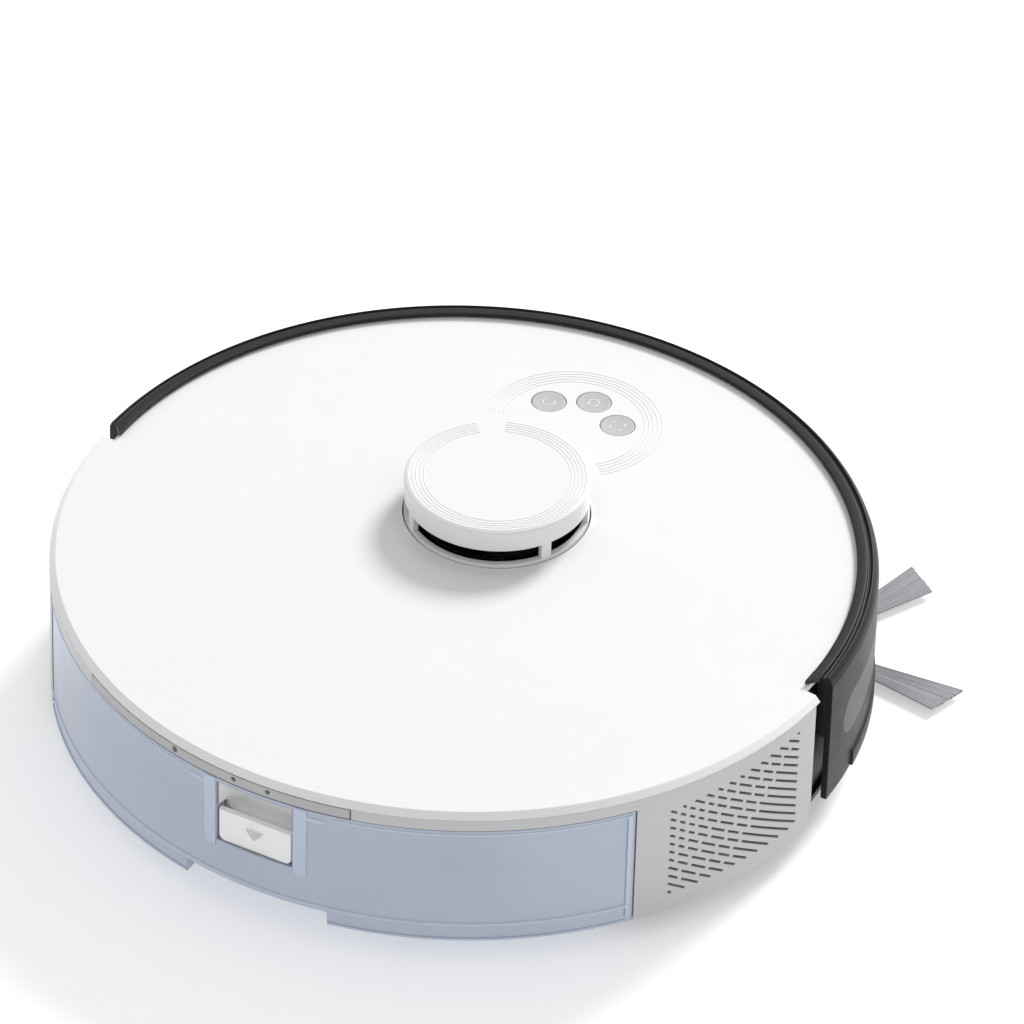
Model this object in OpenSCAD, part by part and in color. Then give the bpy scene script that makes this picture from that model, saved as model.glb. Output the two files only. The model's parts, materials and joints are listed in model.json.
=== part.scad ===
// Robot vacuum with a lidar turret, a pressing bumper and a slide-out dust and water tank.
// Millimetres, +Z up. The origin is on the body's axis at floor level. The front is -Y and the
// robot's own right side, with the side brush and the vents, is -X.

/* [Body] */
// Outer radius of the side walls
body_r = 170.5; // [170:0.5:171]
// Radius of the cover's top edge
cover_r = 168; // [167.5:0.5:168]
// Height of the cover's edge above the floor
cover_z = 76; // [76:0.1:76.2]
// Rise of the cover from its edge to its middle
crown_h = 3; // [2.8:0.1:3.2]
// Thickness of the cover
cover_t = 2.4; // [2.2:0.1:2.5]
// Gap between the floor and the base pan
ground_gap = 9.5; // [9.5:0.1:9.8]
// Thickness of the base pan's plate
pan_t = 2.5; // [2:0.1:2.6]

/* [Turret] */
// Turret centre, forward of the body's axis
turret_y = -27; // [-28:1:-26]
// Radius of the turret cap
cap_r = 38.5; // [38.5:0.5:39]
// Height of the turret's top above the floor
turret_z = 97; // [96.5:0.5:98]

/* [Buttons] */
// Radius of one button
button_r = 7.2; // [6.5:0.1:7.2]
// Radius of the circle that the three buttons lie on
button_ring_r = 19; // [19:0.2:20]
// Centre of that circle, sideways
button_ring_x = 2.2; // [0:0.2:2.4]
// Centre of that circle, forward
button_ring_y = -95.8; // [-96:0.2:-95]

/* [Bumper] */
// Inner radius of the bumper's top flange
flange_r = 161.4; // [161:0.2:162]
// Bottom of the bumper above the floor
bumper_z = 15.5; // [15:0.5:17]

/* [Drive wheels] */
// Tyre radius
tyre_r = 32.5; // [32:0.5:32.5]
// Tyre width
tyre_w = 20; // [18:1:20]
// Wheel centre out from the body's axis
wheel_x = 118; // [117.5:0.5:118]
// Wheel centre behind the body's axis
wheel_y = 5; // [4.5:0.5:5.5]

/* [Brushes] */
// Main brush radius over the bristles
brush_r = 19; // [18:0.5:19]
// Main brush length
brush_l = 152; // [148:1:152]
// Main brush centre behind the body's axis
brush_y = 32; // [31.5:0.5:32.5]
// Main brush centre above the floor
brush_z = 20; // [20:0.5:21]
// Side brush centre, sideways
side_x = -108.5; // [-109:0.5:-105]
// Side brush centre, forward
side_y = -99.5; // [-101.5:0.5:-99]
// Side brush radius over the bristles
side_r = 72.5; // [68:0.5:73]

/* [Tank] */
// Half the tank's width at the rear wall
tank_x = 135.9; // [135.5:0.1:136]
// Half the width of the part that reaches in under the frame
tank_in_x = 98.5; // [97:0.5:98.5]
// Tank bottom above the floor
tank_z0 = 11.2; // [11:0.1:12]
// Tank top above the floor
tank_z1 = 67.7; // [67:0.1:67.8]
// Wall thickness of the tank
tank_t = 2.2; // [2:0.1:2.4]

/* [Hidden] */
$fn = 96;
ROUND = 180;
FIT = 0.05;

// Base pan and the wells in it
pan_top = ground_gap + pan_t;
pan_r = 163;
well_in = 92;
well_out = 131;
well_front = wheel_y - 61;
well_rear = wheel_y + 37;
well_roof = 66.5;
wall = 2;
tunnel_x = 80.5;
tunnel_h = 46;
tunnel_half = brush_r + 2;
motor_y = brush_y - 12;
motor_z = 57;
duct_x = 29;
duct_z0 = 30;
duct_z1 = 46;

// Middle frame
frame_z = 69;
frame_t = 2.5;
front_wall_r = 160.5;
bay_x = tank_in_x + 1;
bay_y = 57.3;
shoulder_y = 95.2;

// Foot of the buttons' plungers
button_z = 73.5;

// Turret
slot_z0 = 80.4;
slot_z1 = 87.4;
rotor_z1 = 88.8;
skirt_z = 77;
cap_wall = 2.5;
pillars = [52, 151, 199, 262, 335];
pillar_half = 3.5;
rotor_r = 33;
rotor_pulley_r = 30;
motor_pulley_r = 6;
pulley_x = 50;
belt_z = 72.4;
belt_h = 2.4;

// Bumper: wall and flange, and the groove between them
bumper_in = 168;
bumper_out = body_r + 0.2;
groove_in = 165.6;
flange_t = 1.8;
window_z = 47;

// Swing arms: pivot in front of the wheel, motor between them
axle_z = tyre_r;
pivot_y = wheel_y - 50;
pivot_z = axle_z - 4.5;
gear_module = 1;
wheel_teeth = 35;
pinion_teeth = 10;
motor_gap = gear_module * (wheel_teeth + pinion_teeth) / 2;
arm_x0 = 94.5;
arm_x1 = 105.5;
arm_wall = 2;
pin_r = 3;

// Caster
caster_y = -128;
caster_in = 19.5;
caster_wheel_r = 11;
caster_trail = 5;

// Side frame: top of the strip under the cover's edge
strip_z1 = cover_z - cover_t - 0.3;

// Louvre field on the right side panel; lengths run forward along the wall
arc_mm = body_r * PI / 180;
vent_a0 = 90 + 58.3;
vent_w = 23.5 * arc_mm;
vent_rows = 12;
vent_rise = 1.3;
vent_trim = 0.7;
vent_z1 = 62.4;
vent_pitch = 4.18;
vent_slope = atan((vent_rows - 1) * vent_pitch / vent_w);
vent_slot_h = 1.1;
vent_step = 4.6;
vent_gaps = [35.9, 28.1, 19.3, 12.7, 8.1, 3.7, -0.7, -5.1, -9.5, -13.9, -18.3];

// Fan in the right rear corner, speaker in the left one
fan_x = -104;
fan_y = 71.5;
fan_z = 40;
fan_l = 32;
fan_r = 21;

// Finger recess and latch in the middle of the tank's rear wall
recess_x = 17.5;
foot_gap_x = 32.5;
foot_gap_y = 160.5;
foot_gap_h = 6.5;
recess_y = 156;
recess_z = 36;
latch_x = recess_x - 0.6;

// Dust box pocket in the tank
pocket_x0 = -tank_in_x;
pocket_x1 = 40;
pocket_y1 = 118;
pocket_z = 26;
lid_z = tank_z1 - 2;
plug_r = 6;
plug_h = 5;

// Height of the cover's outer surface at distance r from the axis
function dome_z(r) = cover_z + crown_h * (1 - pow(r / cover_r, 2));

// A closed outline of a straight-flanked gear, with a tooth on the +X side
function gear_outline(teeth) = let (r = gear_module * teeth / 2, step = 360 / teeth)
    [for (i = [0:teeth - 1], p = [[-0.34, -1.15], [-0.10, 0.8], [0.10, 0.8], [0.34, -1.15]])
        (r + p[1] * gear_module) * [cos((i + p[0]) * step), sin((i + p[0]) * step)]];

// Revolves its children's profile from angle a0 to angle a1 about the body's axis
module sector(a0, a1) {
    rotate_extrude(start = a0, angle = a1 - a0, $fn = ROUND)
        children();
}

// A ring between two radii and two heights, over part of the circle
module ring(r0, r1, z0, z1, a0 = 0, a1 = 360) {
    sector(a0, a1)
        translate([r0, z0])
            square([r1 - r0, z1 - z0]);
}

// A box from its low corner to its high corner
module box(low, high) {
    translate(low)
        cube(high - low);
}

// A cylinder along X from x0 to x1, centred on (y, z)
module rod_x(x0, x1, y, z, r) {
    translate([x0, y, z])
        rotate([0, 90, 0])
            cylinder(r = r, h = x1 - x0);
}

// Repeats its children on the left and on the right
module both_sides() {
    children();
    mirror([1, 0, 0])
        children();
}

module well_box(grow, z0, z1) {
    box([well_in - grow, well_front - grow, z0], [well_out + grow, well_rear + grow, z1]);
}

// Opening for the battery door, less gap all round
module battery_bay(gap, z0, z1) {
    box([gap - 54, gap - 92, z0], [54 - gap, -17 - gap, z1]);
}

module screw_places() {
    for (a = [22, 158, 192, 236, 304, 348])
        rotate(a)
            translate([150, 0, 0])
                children();
}

module cliff_places() {
    for (a = [205, 243, 297, 335])
        rotate(a)
            translate([150, 0, 0])
                children();
}

module contact_places() {
    for (side = [-1, 1])
        translate([38 * side, -138, 0])
            children();
}

module base_pan() {
    color("#3c3e42") difference() {
        union() {
            difference() {
                cylinder(r = pan_r, h = pan_top, $fn = ROUND);
                translate([0, 0, -1])
                    cylinder(r = pan_r + 1, h = ground_gap + 1);
                box([-tank_in_x - 1, bay_y + 2.5, 0], [tank_in_x + 1, body_r, 20]);
                box([-body_r, shoulder_y - 0.7, 0], [body_r, body_r, 20]);
            }
            both_sides()
                well_box(wall, ground_gap, well_roof + wall);
            box([-tunnel_x - wall, brush_y - tunnel_half - wall, ground_gap],
                [tunnel_x + wall, brush_y + tunnel_half + wall, tunnel_h + wall]);
            box([-duct_x, brush_y + tunnel_half, duct_z0 - wall], [duct_x, bay_y + 2, duct_z1 + wall]);
            translate([0, caster_y, ground_gap])
                cylinder(r = caster_in + wall, h = 21.5);
        }
        both_sides() {
            well_box(0, 0, well_roof);
            // window in the well's inner wall for the swinging motor
            box([well_in - wall - 1, wheel_y - 35, 14], [well_in + 1, wheel_y - 10, 45]);
            rod_x(well_in - 5, well_out + 5, pivot_y, pivot_z, pin_r);
        }
        box([-tunnel_x, brush_y - tunnel_half, 0], [tunnel_x, brush_y + tunnel_half, tunnel_h]);
        box([wall - duct_x, brush_y + tunnel_half - 1, duct_z0], [duct_x - wall, bay_y + 3, duct_z1]);
        rod_x(tunnel_x - 1, tunnel_x + 3, brush_y, brush_z, 4 + FIT);
        rod_x(-tunnel_x - 3, 1 - tunnel_x, brush_y, brush_z, pin_r + FIT);
        translate([0, caster_y, 0]) {
            cylinder(r = caster_in, h = 29);
            cylinder(r = pin_r + FIT, h = 40);
        }
        translate([side_x, side_y, 0])
            cylinder(r = 5, h = 20);
        battery_bay(0, 0, 20);
        screw_places() {
            translate([0, 0, ground_gap - 1])
                cylinder(r = 3.3, h = 2.2);
            cylinder(r = 1.5, h = 20);
        }
        cliff_places()
            cube([9, 15, 40], center = true);
        contact_places()
            cube([19, 9, 40], center = true);
    }
}

module mid_frame() {
    color("#3a3c40") difference() {
        union() {
            cylinder(r = front_wall_r - 0.5, h = frame_z + frame_t, $fn = ROUND);
            ring(100, 166.5, frame_z, frame_z + frame_t, 4.4, 175.6);
        }
        // everything below the plate, except the walls that are added back
        translate([0, 0, -1])
            cylinder(r = body_r, h = frame_z + 1);
        translate([0, turret_y, 0])
            cylinder(r = 42, h = 100);
        translate([pulley_x, turret_y, 0])
            cylinder(r = 3, h = 100);
    }
    color("#2b2c2f") ring(158, front_wall_r, pan_top + 0.1, frame_z + 0.1, 176, 364);
}

// Walls round the front of the tank, between the base pan and the middle frame
module tank_bay() {
    top = frame_z - 0.02;
    color("#2b2c2f") difference() {
        union() {
            box([-bay_x - wall, bay_y, pan_top], [bay_x + wall, bay_y + wall, top]);
            both_sides() {
                box([bay_x, bay_y, pan_top], [bay_x + wall, shoulder_y - 0.6, top]);
                box([bay_x, shoulder_y - 2.4, pan_top], [133, shoulder_y - 0.6, top]);
            }
        }
        box([-duct_x - 0.3, bay_y - 1, duct_z0 - 2.3], [duct_x + 0.3, bay_y + 3, duct_z1 + 2.3]);
        rod_x(-bay_x - 5, -bay_x + 5, fan_y, fan_z, 10);
    }
}

module button_place(index) {
    a = -90 + 60 * index;
    translate([button_ring_x + button_ring_r * cos(a), button_ring_y + button_ring_r * sin(a), 0])
        children();
}

module top_cover() {
    edge = [for (r = [0:14:cover_r]) [r, dome_z(r)]];
    under = [for (r = [cover_r:-14:0]) [r, dome_z(r) - cover_t]];
    color("#f4f5f6") difference() {
        rotate_extrude($fn = ROUND)
            polygon(concat(edge, [[cover_r + 0.3, cover_z - 0.2], [body_r, cover_z - cover_t],
                [body_r, cover_z - cover_t - 0.2], [cover_r + 0.5, cover_z - cover_t - 0.2]], under));
        // in front the edge is narrower and runs under the bumper's flange
        ring(163, body_r + 5, 60, 90, 176.6, 363.4);
        translate([0, turret_y, 60])
            cylinder(r = cap_r + 0.6, h = 40);
        for (i = [-1:1])
            button_place(i)
                translate([0, 0, 60])
                    cylinder(r = button_r + 0.35, h = 40);
    }
}

module rear_trim() {
    color("#b9bbbc") difference() {
        ring(169.05, body_r + 0.1, 68.5, strip_z1 - 0.3, 58, 104);
        for (a = [76.8, 86.9, 92.2])
            rotate([0, 0, a])
                translate([body_r - 3, 0, 71])
                    rotate([0, 90, 0])
                        cylinder(r = a < 80 ? 1.4 : 1.1, h = 5, $fn = 24);
    }
}

// One louvre slot from arc length s0 to s1 in front of the field's rear edge, centred at height z
module vent_slot(s0, s1, z) {
    rotate([0, 0, vent_a0 + (s0 + s1) / 2 / arc_mm])
        translate([body_r, 0, z])
            rotate([-vent_slope, 0, 0])
                cube([14, (s1 - s0) / cos(vent_slope), vent_slot_h], center = true);
}

// Slanting rows of dashes that fill an upright band; their gaps move back two rows at a time
module vents() {
    last = vent_rows - 1;
    for (k = [-1:2 * last - 1]) {
        s0 = max(0, vent_w * (last - k) / (last + vent_rise));
        s1 = min(vent_w, vent_w * (2 * last - vent_trim - k) / last);
        shift = vent_step * floor((last + 2 - k) / 2);
        cuts = [for (g = vent_gaps) g + shift];
        ends = concat([s1 + 0.8], [for (g = cuts) if (g < s1 - 1.6 && g > s0 + 1.6) g], [s0 - 0.8]);
        for (i = [0:len(ends) - 2]) {
            from = ends[i + 1] + 0.9;
            to = ends[i] - 0.9;
            drop = (from + to) / 2 - vent_w * (1 - k / last);
            if (to - from > 0.4)
                vent_slot(from, to, vent_z1 - drop * tan(vent_slope));
        }
    }
}

// Strip under the cover's edge and the two side panels, one moulding round the tank's opening
module side_frame() {
    color("#c9cccf") difference() {
        ring(167.5, body_r, tank_z0, strip_z1, 4.4, 175.6);
        box([-tank_x - 0.6, 0, 0], [tank_x + 0.6, body_r, tank_z1 + 0.4]);
        ring(169, body_r + 1, 60, 80, 57.8, 104.2);
        vents();
    }
}

module suspension_pins() {
    color("#9a9da1") both_sides()
        rod_x(well_in - 4, well_out + 4, pivot_y, pivot_z, pin_r - 0.02);
}

module suspension_springs() {
    color("#8a8d91") both_sides()
        for (i = [0:4])
            translate([108 + 2.2 * i, pivot_y, pivot_z])
                rotate([0, 90, 0])
                    rotate_extrude($fn = 48)
                        translate([5.2, 0])
                            circle(r = 1, $fn = 16);
}

module battery() {
    color("#2f4f8f") for (i = [-1.5:1.5])
        translate([0, -54 + 17.2 * i, 26])
            rotate([0, 90, 0])
                cylinder(r = 8.9, h = 98, center = true);
    color("#23262b") box([-50, -89, 14.2], [50, -19, 17.4]);
}

module battery_door() {
    color("#36383c") difference() {
        battery_bay(0.4, ground_gap, pan_top);
        for (y = [-80:8:-32])
            box([-30, y, 0], [30, y + 2, ground_gap + 0.8]);
    }
}

module main_board() {
    color("#1f6b46") box([-62, -100, 46], [62, 4, 47.6]);
    color("#26282b") {
        box([-20, -60, 47.6], [20, -30, 50.6]);
        box([-50, -92, 47.6], [-34, -70, 51.6]);
        box([30, -90, 47.6], [52, -80, 55]);
    }
}

module fan_housing() {
    color("#2e3033") difference() {
        rod_x(fan_x - fan_l, fan_x, fan_y, fan_z, fan_r);
        rod_x(fan_x - 14, fan_x - wall, fan_y, fan_z, fan_r - wall);
        rod_x(fan_x - 5, fan_x + 1, fan_y, fan_z, 9);
        rod_x(fan_x - fan_l - 1, fan_x - 18, fan_y, fan_z, fan_r - wall);
        rod_x(fan_x - fan_l - 1, fan_x - 5, fan_y, fan_z, 2 + FIT);
        // exhaust window towards the vents
        box([fan_x - 13, fan_y - 8, fan_z + 5], [fan_x - 4, fan_y + 8, fan_z + fan_r + 2]);
    }
}

module fan_motor() {
    color("#a9abae") difference() {
        rod_x(fan_x - fan_l + 1, fan_x - 18.2, fan_y, fan_z, 14);
        rod_x(fan_x - fan_l, fan_x - 17, fan_y, fan_z, 2 + FIT);
    }
}

module fan_impeller() {
    color("#d7d9db") {
        rod_x(fan_x - 12.5, fan_x - 11, fan_y, fan_z, 17);
        rod_x(fan_x - 24, fan_x - 5, fan_y, fan_z, 2);
        for (a = [0:30:330])
            translate([fan_x - 11.5, fan_y, fan_z])
                rotate([a, 0, 0])
                    translate([0, 0, 6])
                        rotate([0, 0, 20])
                            translate([0, -0.4, 0])
                                cube([6, 0.8, 10.5]);
    }
}

module speaker() {
    color("#26282b") translate([122, 70, 40]) {
        cylinder(r = 18, h = 12);
        cylinder(r = 11, h = 22);
    }
}

// Gear case on the brush's left end, from the brush's shaft up to the motor's
module brush_gearbox() {
    color("#2e3033") difference() {
        union() {
            rod_x(83, 89.6, brush_y, brush_z, 7.8);
            rod_x(83, 89.6, motor_y, motor_z, 9);
            translate([83, 0, 0])
                rotate([90, 0, 90])
                    linear_extrude(height = 6.6)
                        polygon([[brush_y - 7.4, brush_z - 2.4], [brush_y + 7.4, brush_z + 2.4],
                            [motor_y + 8.6, motor_z + 2.7], [motor_y - 8.6, motor_z - 2.7]]);
        }
        rod_x(82, 88.2, brush_y, brush_z, 4 + FIT);
        rod_x(82, 88.2, motor_y, motor_z, 2 + FIT);
    }
}

module brush_motor() {
    color("#a9abae") {
        rod_x(5, 60, motor_y, motor_z, 8.4);
        rod_x(60, 88, motor_y, motor_z, 2);
    }
}

module brush_guard() {
    color("#d0552e") difference() {
        box([-86, brush_y - 26, ground_gap - 1.4], [86, brush_y + 24.5, ground_gap - 0.02]);
        box([-tunnel_x + 1, brush_y - tunnel_half + 0.5, 0], [tunnel_x - 1, brush_y + tunnel_half - 0.5, 20]);
    }
}

module side_brush_motor() {
    color("#2e3033") translate([side_x, side_y, pan_top + 0.2]) {
        difference() {
            union() {
                cylinder(r = 10.5, h = 10);
                translate([13.8, 13.2, 0])
                    cylinder(r = 13, h = 10);
            }
            translate([0, 0, -1])
                cylinder(r = 4 + FIT, h = 9);
        }
    }
    color("#a9abae") translate([side_x + 13.8, side_y + 13.2, pan_top + 10.2])
        cylinder(r = 11, h = 26);
}

module side_brush_hub() {
    color("#4a4c50") translate([side_x, side_y, 0]) {
        translate([0, 0, 8])
            cylinder(r = 4, h = 11);
        translate([0, 0, 3.6])
            cylinder(r = 12.5, h = 5.4);
        for (a = [34.5:72:324])
            rotate(a)
                translate([8, -2.6, 4])
                    cube([19, 5.2, 3.4]);
    }
}

module side_brush_bristles() {
    color("#a5a6ad") translate([side_x, side_y, 2.2])
        for (a = [34.5:72:324])
            rotate(a)
                linear_extrude(height = 1.5)
                    polygon([[14, -2.6], [26, -2.8], [side_r - 5, -9], [side_r, 6], [26, 2.8], [14, 2.6]]);
}

module lidar_base() {
    color("#303236") translate([0, turret_y, 0]) difference() {
        union() {
            translate([0, 0, frame_z - 2.8])
                cylinder(r = 46, h = 2.7);
            translate([0, 0, frame_z - 1])
                cylinder(r = 8, h = 2.6);
        }
        translate([0, 0, 50])
            cylinder(r = pin_r + FIT, h = 40);
        translate([pulley_x, 0, 50])
            cylinder(r = 10, h = 40);
    }
}

module lidar_rotor() {
    color("#141517") translate([0, turret_y, 0]) difference() {
        union() {
            translate([0, 0, frame_z - 2.6])
                cylinder(r = pin_r, h = 6);
            translate([0, 0, 72])
                cylinder(r = rotor_pulley_r, h = 3);
            translate([0, 0, 75])
                cylinder(r = rotor_r, h = rotor_z1 - 75);
        }
        // flat face with the transmitter's and the receiver's lens wells
        box([-20, 27, slot_z0 - 1], [20, 40, slot_z1]);
        for (x = [-9, 9])
            translate([x, 20, (slot_z0 + slot_z1) / 2 - 0.2])
                rotate([-90, 0, 0])
                    cylinder(r = 3, h = 12);
    }
}

module lidar_motor() {
    color("#a9abae") translate([pulley_x, turret_y, 0]) difference() {
        translate([0, 0, 50])
            cylinder(r = 9, h = frame_z - 50.1);
        translate([0, 0, 60])
            cylinder(r = 1.5 + FIT, h = 12);
    }
}

module lidar_pulley() {
    color("#e6e6e6") translate([pulley_x, turret_y, 0]) {
        translate([0, 0, 61])
            cylinder(r = 1.5, h = 11);
        translate([0, 0, 72])
            cylinder(r = motor_pulley_r, h = 3);
    }
}

// Outline around both pulleys, grown by g
module belt_loop(g) {
    hull() {
        circle(r = rotor_pulley_r + g, $fn = 64);
        translate([pulley_x, 0])
            circle(r = motor_pulley_r + g, $fn = 32);
    }
}

module lidar_belt() {
    color("#1a1a1a") translate([0, turret_y, belt_z])
        linear_extrude(height = belt_h)
            difference() {
                belt_loop(1.3);
                belt_loop(0.3);
            }
}

module cap_springs() {
    color("#9a9da1") translate([0, turret_y, 0])
        for (a = [100, 180, 260])
            rotate(a)
                translate([cap_r - 1.25, 0, frame_z + frame_t])
                    difference() {
                        cylinder(r = 1.2, h = skirt_z - frame_z - frame_t, $fn = 24);
                        translate([0, 0, -1])
                            cylinder(r = 0.6, h = 10, $fn = 24);
                    }
}

module turret_cap() {
    color("#f4f5f6") translate([0, turret_y, 0]) {
        rotate_extrude($fn = ROUND)
            polygon([[0, turret_z - 2], [cap_r - cap_wall, turret_z - 2], [cap_r - cap_wall, slot_z1],
                [cap_r, slot_z1], [cap_r, turret_z - 1.2], [cap_r - 0.4, turret_z - 0.4],
                [cap_r - 1.2, turret_z], [0, turret_z]]);
        ring(cap_r - cap_wall, cap_r, skirt_z, slot_z0);
        for (a = pillars)
            ring(cap_r - cap_wall, cap_r, slot_z0 - 1, slot_z1 + 1, a - pillar_half, a + pillar_half);
    }
}

// A round button with a collar that the cover holds down
module button(index) {
    top = dome_z(button_ring_r - button_ring_y) - 0.1;
    color("#dcdddf") button_place(index) {
        translate([0, 0, button_z + 0.9])
            cylinder(r = button_r, h = top - button_z - 0.9);
        translate([0, 0, button_z + 0.4])
            cylinder(r = button_r + 1, h = 0.6);
        translate([0, 0, button_z])
            cylinder(r = 2, h = 1);
    }
}

module button_left() {
    button(1);
}

module button_middle() {
    button(0);
}

module button_right() {
    button(-1);
}

module button_board() {
    color("#1f6b46") box([-30, -126, frame_z + frame_t], [30, -92, frame_z + frame_t + 0.8]);
    color("#26282b") for (i = [-1:1])
        button_place(i)
            translate([0, 0, frame_z + frame_t + 0.7])
                cylinder(r = 2, h = 0.5, $fn = 24);
}

module cliff_sensors() {
    color("#101114") cliff_places()
        translate([-4, -7, ground_gap - 0.5])
            cube([8, 14, 6]);
}

module charging_contacts() {
    color("#c9a24a") contact_places()
        translate([-9, -4, ground_gap - 0.6])
            cube([18, 8, 3.4]);
}

module bumper_switches() {
    color("#26282b") for (a = [215, 325])
        ring(front_wall_r + 0.1, 164.3, 44, 56, a - 2, a + 2);
}

module bumper_springs() {
    color("#9a9da1") for (a = [235, 305])
        ring(front_wall_r + 0.1, 164, 58, 62, a - 0.8, a + 0.8);
}

module base_screws() {
    color("#55585c") screw_places()
        translate([0, 0, ground_gap + 0.2]) {
            cylinder(r = 3, h = 1, $fn = 32);
            cylinder(r = 1.48, h = 6, $fn = 24);
        }
}

// Swing arm with its gear case, on the left (+X) side
module wheel_arm() {
    difference() {
        union() {
            rod_x(arm_x0, arm_x1, wheel_y, axle_z, 21);
            rod_x(arm_x0, arm_x1, wheel_y - motor_gap, axle_z, 11);
            rod_x(arm_x0, arm_x1, pivot_y, pivot_z, 8);
            translate([arm_x0, 0, 0])
                rotate([90, 0, 90])
                    linear_extrude(height = arm_x1 - arm_x0)
                        polygon([[pivot_y, pivot_z - 7.5], [wheel_y, axle_z - 15], [wheel_y, axle_z + 15],
                            [pivot_y, pivot_z + 7.5]]);
        }
        rod_x(arm_x0 + arm_wall, arm_x1 - arm_wall, wheel_y, axle_z, 19);
        rod_x(arm_x0 + arm_wall, arm_x1 - arm_wall, wheel_y - motor_gap, axle_z, 7);
        rod_x(arm_x0 - 1, arm_x1 + 1, pivot_y, pivot_z, pin_r + FIT);
        rod_x(arm_x0 - 1, arm_x0 + 3, wheel_y, axle_z, pin_r + FIT);
        rod_x(arm_x1 - 3, arm_x1 + 1, wheel_y, axle_z, 6 + FIT);
        rod_x(arm_x0 - 1, arm_x0 + 3, wheel_y - motor_gap, axle_z, 1.5 + FIT);
    }
}

module wheel_hub() {
    rod_x(arm_x0 + 0.3, arm_x0 + 3, wheel_y, axle_z, pin_r);
    translate([arm_x0 + 2.5, wheel_y, axle_z])
        rotate([90, 0, 90])
            rotate(180)
                linear_extrude(height = 6)
                    polygon(gear_outline(wheel_teeth));
    rod_x(arm_x0 + 8, wheel_x - tyre_w / 2 + 1, wheel_y, axle_z, 6);
    difference() {
        rod_x(wheel_x - tyre_w / 2, wheel_x + tyre_w / 2, wheel_y, axle_z, 26);
        rod_x(wheel_x + tyre_w / 2 - 5, wheel_x + tyre_w / 2 + 1, wheel_y, axle_z, 23);
        for (a = [0:60:300])
            translate([wheel_x, wheel_y, axle_z])
                rotate([a, 0, 0])
                    translate([-20, 0, 15])
                        rotate([0, 90, 0])
                            cylinder(r = 4.5, h = 40, $fn = 32);
    }
}

// Tyre with moulded lugs all round
module tyre() {
    lugs = 32;
    step = 360 / lugs;
    lug = [[0.1, -1.6], [0.2, 0], [0.5, 0], [0.8, 0], [0.9, -1.6]];
    translate([wheel_x - tyre_w / 2, wheel_y, axle_z])
        rotate([90, 0, 90])
            difference() {
                linear_extrude(height = tyre_w)
                    polygon([for (i = [0:lugs - 1], p = lug)
                        (tyre_r + p[1]) * [cos((i + p[0]) * step), sin((i + p[0]) * step)]]);
                translate([0, 0, -1])
                    cylinder(r = 26.02, h = tyre_w + 2);
            }
}

module drive_motor() {
    difference() {
        rod_x(arm_x0 - 27, arm_x0 - 0.02, wheel_y - motor_gap, axle_z, 10);
        rod_x(arm_x0 - 6, arm_x0 + 1, wheel_y - motor_gap, axle_z, 1.5 + FIT);
    }
}

module drive_pinion() {
    rod_x(arm_x0 - 5, arm_x0 + 3, wheel_y - motor_gap, axle_z, 1.5);
    translate([arm_x0 + 2.5, wheel_y - motor_gap, axle_z])
        rotate([90, 0, 90])
            rotate(180 / pinion_teeth)
                linear_extrude(height = 6)
                    polygon(gear_outline(pinion_teeth));
}

module wheel_arm_left() {
    color("#3a3c40") wheel_arm();
}

module wheel_arm_right() {
    color("#3a3c40") mirror([1, 0, 0]) wheel_arm();
}

module drive_motor_left() {
    color("#a9abae") drive_motor();
}

module drive_motor_right() {
    color("#a9abae") mirror([1, 0, 0]) drive_motor();
}

module drive_pinion_left() {
    color("#d9c27a") drive_pinion();
}

module drive_pinion_right() {
    color("#d9c27a") mirror([1, 0, 0]) drive_pinion();
}

module wheel_hub_left() {
    color("#55585c") wheel_hub();
}

module wheel_hub_right() {
    color("#55585c") mirror([1, 0, 0]) wheel_hub();
}

module tyre_left() {
    color("#1b1b1c") tyre();
}

module tyre_right() {
    color("#1b1b1c") mirror([1, 0, 0]) tyre();
}

module caster_fork() {
    color("#2e3033") translate([0, caster_y, 0]) difference() {
        union() {
            translate([0, 0, 24])
                cylinder(r = caster_in - 0.7, h = 3);
            translate([0, 0, 26])
                cylinder(r = pin_r, h = 10);
            both_sides()
                box([7.2, caster_trail - 4, 7], [10, caster_trail + 4, 25]);
        }
        rod_x(-15, 15, caster_trail, caster_wheel_r, 1.5);
    }
}

module caster_axle() {
    color("#b8babd") rod_x(-9.8, 9.8, caster_y + caster_trail, caster_wheel_r, 1.48);
}

module caster_wheel() {
    color("#d9dadc") difference() {
        rod_x(-6.6, 6.6, caster_y + caster_trail, caster_wheel_r, caster_wheel_r);
        rod_x(-8, 8, caster_y + caster_trail, caster_wheel_r, 1.5 + FIT);
    }
}

module main_brush_core() {
    color("#3a3c40") {
        rod_x(-brush_l / 2, brush_l / 2, brush_y, brush_z, 11);
        rod_x(brush_l / 2 - 1, 88, brush_y, brush_z, 4);
        rod_x(-tunnel_x - 1.8, 1 - brush_l / 2, brush_y, brush_z, pin_r);
    }
}

// Six soft strips that wind a third of a turn around the core
module main_brush_bristles() {
    color("#d0552e") translate([-brush_l / 2 + 1, brush_y, brush_z])
        rotate([90, 0, 90])
            linear_extrude(height = brush_l - 2, twist = 120, slices = 20, segments = 0)
                for (a = [0:60:300])
                    rotate(a)
                        translate([11.1, -0.9])
                            square([brush_r - 11.1, 1.8]);
}

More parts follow.
